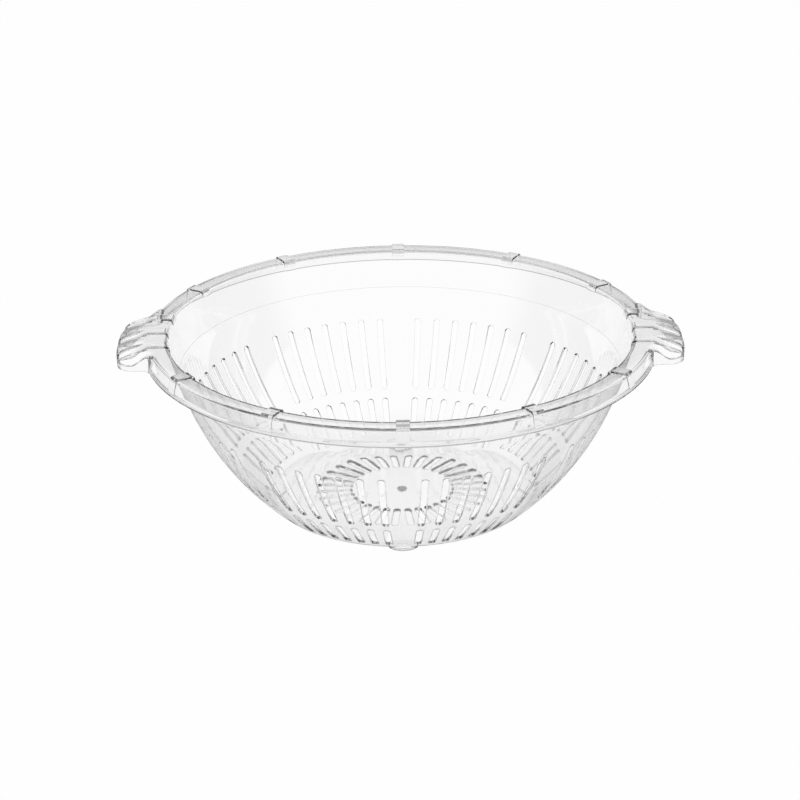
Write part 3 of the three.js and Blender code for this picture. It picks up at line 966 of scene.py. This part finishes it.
def torn_polystyrene(colour):
    """Clear polystyrene where the sprue was torn off.
    Its torn end is rough and half clear, and its colour is grey."""
    material = bpy.data.materials.new("torn_polystyrene")
    tree = empty_tree(material)
    place = add_node(tree, "ShaderNodeTexCoord").outputs["Object"]
    # Grain of the torn plastic about 1 mm across
    grain = add_node(
        tree, "ShaderNodeTexNoise", {"Scale": 1 / (1 * MM), "Detail": 4.0}, Vector=place)
    bump = add_node(
        tree, "ShaderNodeBump", {"Strength": 0.9, "Distance": 0.4 * MM}, Height=grain.outputs["Fac"])
    surface = add_node(
        tree, "ShaderNodeBsdfPrincipled",
        {"Base Color": (*colour, 1), "Metallic": 0.0, "Roughness": 0.6, "IOR": 1.59,
         "Transmission Weight": 0.5},
        Normal=bump.outputs["Normal"])
    add_node(tree, "ShaderNodeOutputMaterial", Surface=surface.outputs["BSDF"])
    return material


class COLANDER_OT_finish_moulding(bpy.types.Operator):
    """Give the moulding its plastic and set it on the frame"""

    bl_idname = "colander.finish_moulding"
    bl_label = "Finish Moulding"

    def execute(self, context):
        bowl, feet = context.scene.colander_bowl, context.scene.colander_feet
        stage = context.scene.colander_stage
        moulding = bpy.data.objects[MOULDING]
        bm = bmesh.new()
        bm.from_mesh(moulding.data)
        bmesh.ops.remove_doubles(bm, verts=bm.verts, dist=SAME_PLACE)
        bmesh.ops.dissolve_degenerate(bm, edges=bm.edges, dist=SAME_PLACE)
        self.set_shading(bm, bowl)
        self.set_torn(bm, bowl, feet)
        moulding.data.materials.clear()
        bm.to_mesh(moulding.data)
        bm.free()
        moulding.data.materials.append(clear_polystyrene(stage.plastic))
        moulding.data.materials.append(torn_polystyrene(stage.torn))
        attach(moulding, "root")
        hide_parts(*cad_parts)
        return {"FINISHED"}

    def set_torn(self, bm, bowl, feet):
        """Gives the stub under the floor the second material, of its torn end."""
        for face in bm.faces:
            middle = face.calc_center_median()
            below_floor = middle.z < bowl.floor_bottom - SAME_PLACE
            face.material_index = int(below_floor and middle.xy.length < feet.gate_radius)

    def set_shading(self, bm, bowl):
        """Shades all smoothly, but keeps the slots' edges crisp so that the walls' own shading stays true."""
        for face in bm.faces:
            face.smooth = True
        for edge in bm.edges:
            middle = (edge.verts[0].co + edge.verts[1].co) / 2
            crease = SLOT_CREASE if middle.xy.length < bowl.shoulder_radius else RIM_CREASE
            edge.smooth = edge.calc_face_angle(0) < crease


class COLANDER_OT_stage(bpy.types.Operator):
    """Make the white floor, the surround, the lamps and the camera"""

    bl_idname = "colander.stage"
    bl_label = "Stage"

    def execute(self, context):
        stage = context.scene.colander_stage
        context.scene.view_settings.view_transform = "Standard"
        self.floor(stage)
        self.surround(context.scene, stage)
        self.lamp("key_softbox", stage.key_place, stage.lamp_size, stage.key_power)
        self.lamp("fill_softbox", stage.fill_place, stage.lamp_size, stage.fill_power)
        self.camera(context.scene, stage)
        self.light_paths(context.scene, stage)
        return {"FINISHED"}

    def light_paths(self, scene, stage):
        """Lets light turn often enough inside the plastic for its edges to stay clear."""
        scene.cycles.max_bounces = stage.light_turns
        scene.cycles.glossy_bounces = stage.light_turns
        scene.cycles.transmission_bounces = stage.light_turns

    def ray_share(self, tree, weights):
        """Largest of the given weights of the kinds of ray that a ray is."""
        path = add_node(tree, "ShaderNodeLightPath")
        largest = None
        for kind, weight in weights.items():
            share = add_node(tree, "ShaderNodeMath", {"operation": "MULTIPLY"})
            tree.links.new(path.outputs[kind], share.inputs[0])
            share.inputs[1].default_value = weight
            if largest is None:
                largest = share.outputs[0]
            else:
                larger = add_node(tree, "ShaderNodeMath", {"operation": "MAXIMUM"})
                tree.links.new(largest, larger.inputs[0])
                tree.links.new(share.outputs[0], larger.inputs[1])
                largest = larger.outputs[0]
        return largest

    def floor(self, stage):
        """White paper sweep: its own white is shown, with a share left to light and shadow."""
        bm = bmesh.new()
        bmesh.ops.create_circle(bm, cap_ends=True, segments=stage.paper_steps, radius=stage.paper_radius)
        floor = new_piece("paper_floor", bm)
        material = bpy.data.materials.new("white_paper_sweep")
        tree = empty_tree(material)
        paper = add_node(tree, "ShaderNodeBsdfDiffuse", {"Color": (*stage.backdrop, 1)})
        white = add_node(tree, "ShaderNodeEmission", {"Color": (*stage.backdrop, 1), "Strength": 1.0})
        shown = self.ray_share(tree, {
            "Is Camera Ray": stage.paper_seen,
            "Is Transmission Ray": stage.paper_through,
            "Is Glossy Ray": stage.paper_mirrored})
        mix = add_node(tree, "ShaderNodeMixShader", Fac=shown)
        tree.links.new(paper.outputs[0], mix.inputs[1])
        tree.links.new(white.outputs[0], mix.inputs[2])
        add_node(tree, "ShaderNodeOutputMaterial", Surface=mix.outputs[0])
        floor.data.materials.append(material)

    def surround(self, scene, stage):
        """White to the camera, and to bent light a studio with a grey screen under a ring of softboxes."""
        world = bpy.data.worlds.new("studio_surround")
        scene.world = world
        tree = empty_tree(world)
        direction = add_node(tree, "ShaderNodeTexCoord").outputs["Generated"]
        axes = add_node(tree, "ShaderNodeSeparateXYZ", Vector=direction)
        ramp = add_node(tree, "ShaderNodeValToRGB", Fac=axes.outputs["Z"])
        stops = ramp.color_ramp.elements
        stops[0].position, stops[0].color = math.sin(stage.screen_top), (*stage.screen, 1)
        stops[1].position, stops[1].color = math.sin(stage.softbox_low), (*stage.backdrop, 1)
        stops.new(math.sin(stage.softbox_high)).color = (*stage.backdrop, 1)
        stops.new(math.sin(stage.ceiling)).color = (*stage.studio, 1)
        in_front = add_node(
            tree, "ShaderNodeMapRange",
            {"interpolation_type": "SMOOTHSTEP", "From Min": stage.front_from, "From Max": stage.front_to},
            Value=axes.outputs["Y"])
        sides = add_node(
            tree, "ShaderNodeMix", {"data_type": "RGBA"}, Factor=in_front.outputs["Result"],
            A=ramp.outputs["Color"])
        sides.inputs["B"].default_value = (*stage.backdrop, 1)
        studio = add_node(tree, "ShaderNodeBackground", {"Strength": 1.0}, Color=sides.outputs["Result"])
        light = add_node(
            tree, "ShaderNodeBackground", {"Color": (*stage.backdrop, 1), "Strength": stage.room_light})
        white = add_node(
            tree, "ShaderNodeBackground", {"Color": (*stage.backdrop, 1), "Strength": 1.0})
        bent = self.ray_share(tree, {"Is Glossy Ray": 1, "Is Transmission Ray": 1})
        unseen = add_node(tree, "ShaderNodeMixShader", Fac=bent)
        tree.links.new(light.outputs[0], unseen.inputs[1])
        tree.links.new(studio.outputs[0], unseen.inputs[2])
        mix = add_node(tree, "ShaderNodeMixShader", Fac=self.ray_share(tree, {"Is Camera Ray": 1}))
        tree.links.new(unseen.outputs[0], mix.inputs[1])
        tree.links.new(white.outputs[0], mix.inputs[2])
        add_node(tree, "ShaderNodeOutputWorld", Surface=mix.outputs[0])

    def lamp(self, name, place, size, power):
        """Square softbox that faces the bowl."""
        data = bpy.data.lights.new(name, "AREA")
        data.size = size
        data.energy = power
        lamp = bpy.data.objects.new(name, data)
        lamp.location = place
        lamp.rotation_euler = (-place).to_track_quat("-Z", "Y").to_euler()
        lamp.visible_glossy = False
        lamp.visible_transmission = False
        bpy.context.scene.collection.objects.link(lamp)

    def camera(self, scene, stage):
        """Camera at the photograph's angle, framed for a square picture of 800 pixels."""
        data = bpy.data.cameras.new("photo_camera")
        data.sensor_width = SENSOR
        data.lens = stage.lens
        data.shift_x = stage.shift_right / PICTURE
        data.shift_y = stage.shift_up / PICTURE
        data.clip_end = 2 * stage.paper_radius
        camera = bpy.data.objects.new("photo_camera", data)
        back = Vector((
            math.cos(stage.elevation) * math.sin(stage.azimuth),
            -math.cos(stage.elevation) * math.cos(stage.azimuth),
            math.sin(stage.elevation)))
        camera.location = UP * stage.aim_height + back * stage.distance
        aim = (-back).to_track_quat("-Z", "Y").to_matrix()
        camera.rotation_euler = (aim @ Matrix.Rotation(stage.roll, 3, "Z")).to_euler()
        scene.collection.objects.link(camera)
        scene.camera = camera


class COLANDER_PT_sidebar(bpy.types.Panel):
    """Lists the steps that build the colander"""

    bl_idname = "COLANDER_PT_sidebar"
    bl_label = "Clear Colander"
    bl_space_type = "VIEW_3D"
    bl_region_type = "UI"
    bl_category = "Colander"

    def draw(self, context):
        for step in BUILD_STEPS:
            self.layout.operator(step.bl_idname)


SETTINGS = {
    "colander_bowl": BowlSizes,
    "colander_grip": GripSizes,
    "colander_slots": SlotSizes,
    "colander_feet": FootSizes,
    "colander_stage": StageSettings,
}

BUILD_STEPS = (
    COLANDER_OT_bowl,
    COLANDER_OT_grips,
    COLANDER_OT_bands,
    COLANDER_OT_feet,
    COLANDER_OT_slots,
    COLANDER_OT_finish_moulding,
    COLANDER_OT_stage,
)

CLASSES = (*SETTINGS.values(), *BUILD_STEPS, COLANDER_PT_sidebar)


def register():
    for cls in CLASSES:
        bpy.utils.register_class(cls)
    for name, group in SETTINGS.items():
        setattr(bpy.types.Scene, name, PointerProperty(type=group))


def unregister():
    for name in SETTINGS:
        delattr(bpy.types.Scene, name)
    for cls in reversed(CLASSES):
        bpy.utils.unregister_class(cls)


def main():
    register()
    bpy.ops.colander.bowl()
    bpy.ops.colander.grips()
    bpy.ops.colander.bands()
    bpy.ops.colander.feet()
    bpy.ops.colander.slots()
    bpy.ops.colander.finish_moulding()
    bpy.ops.colander.stage()


if __name__ == "__main__":
    main()
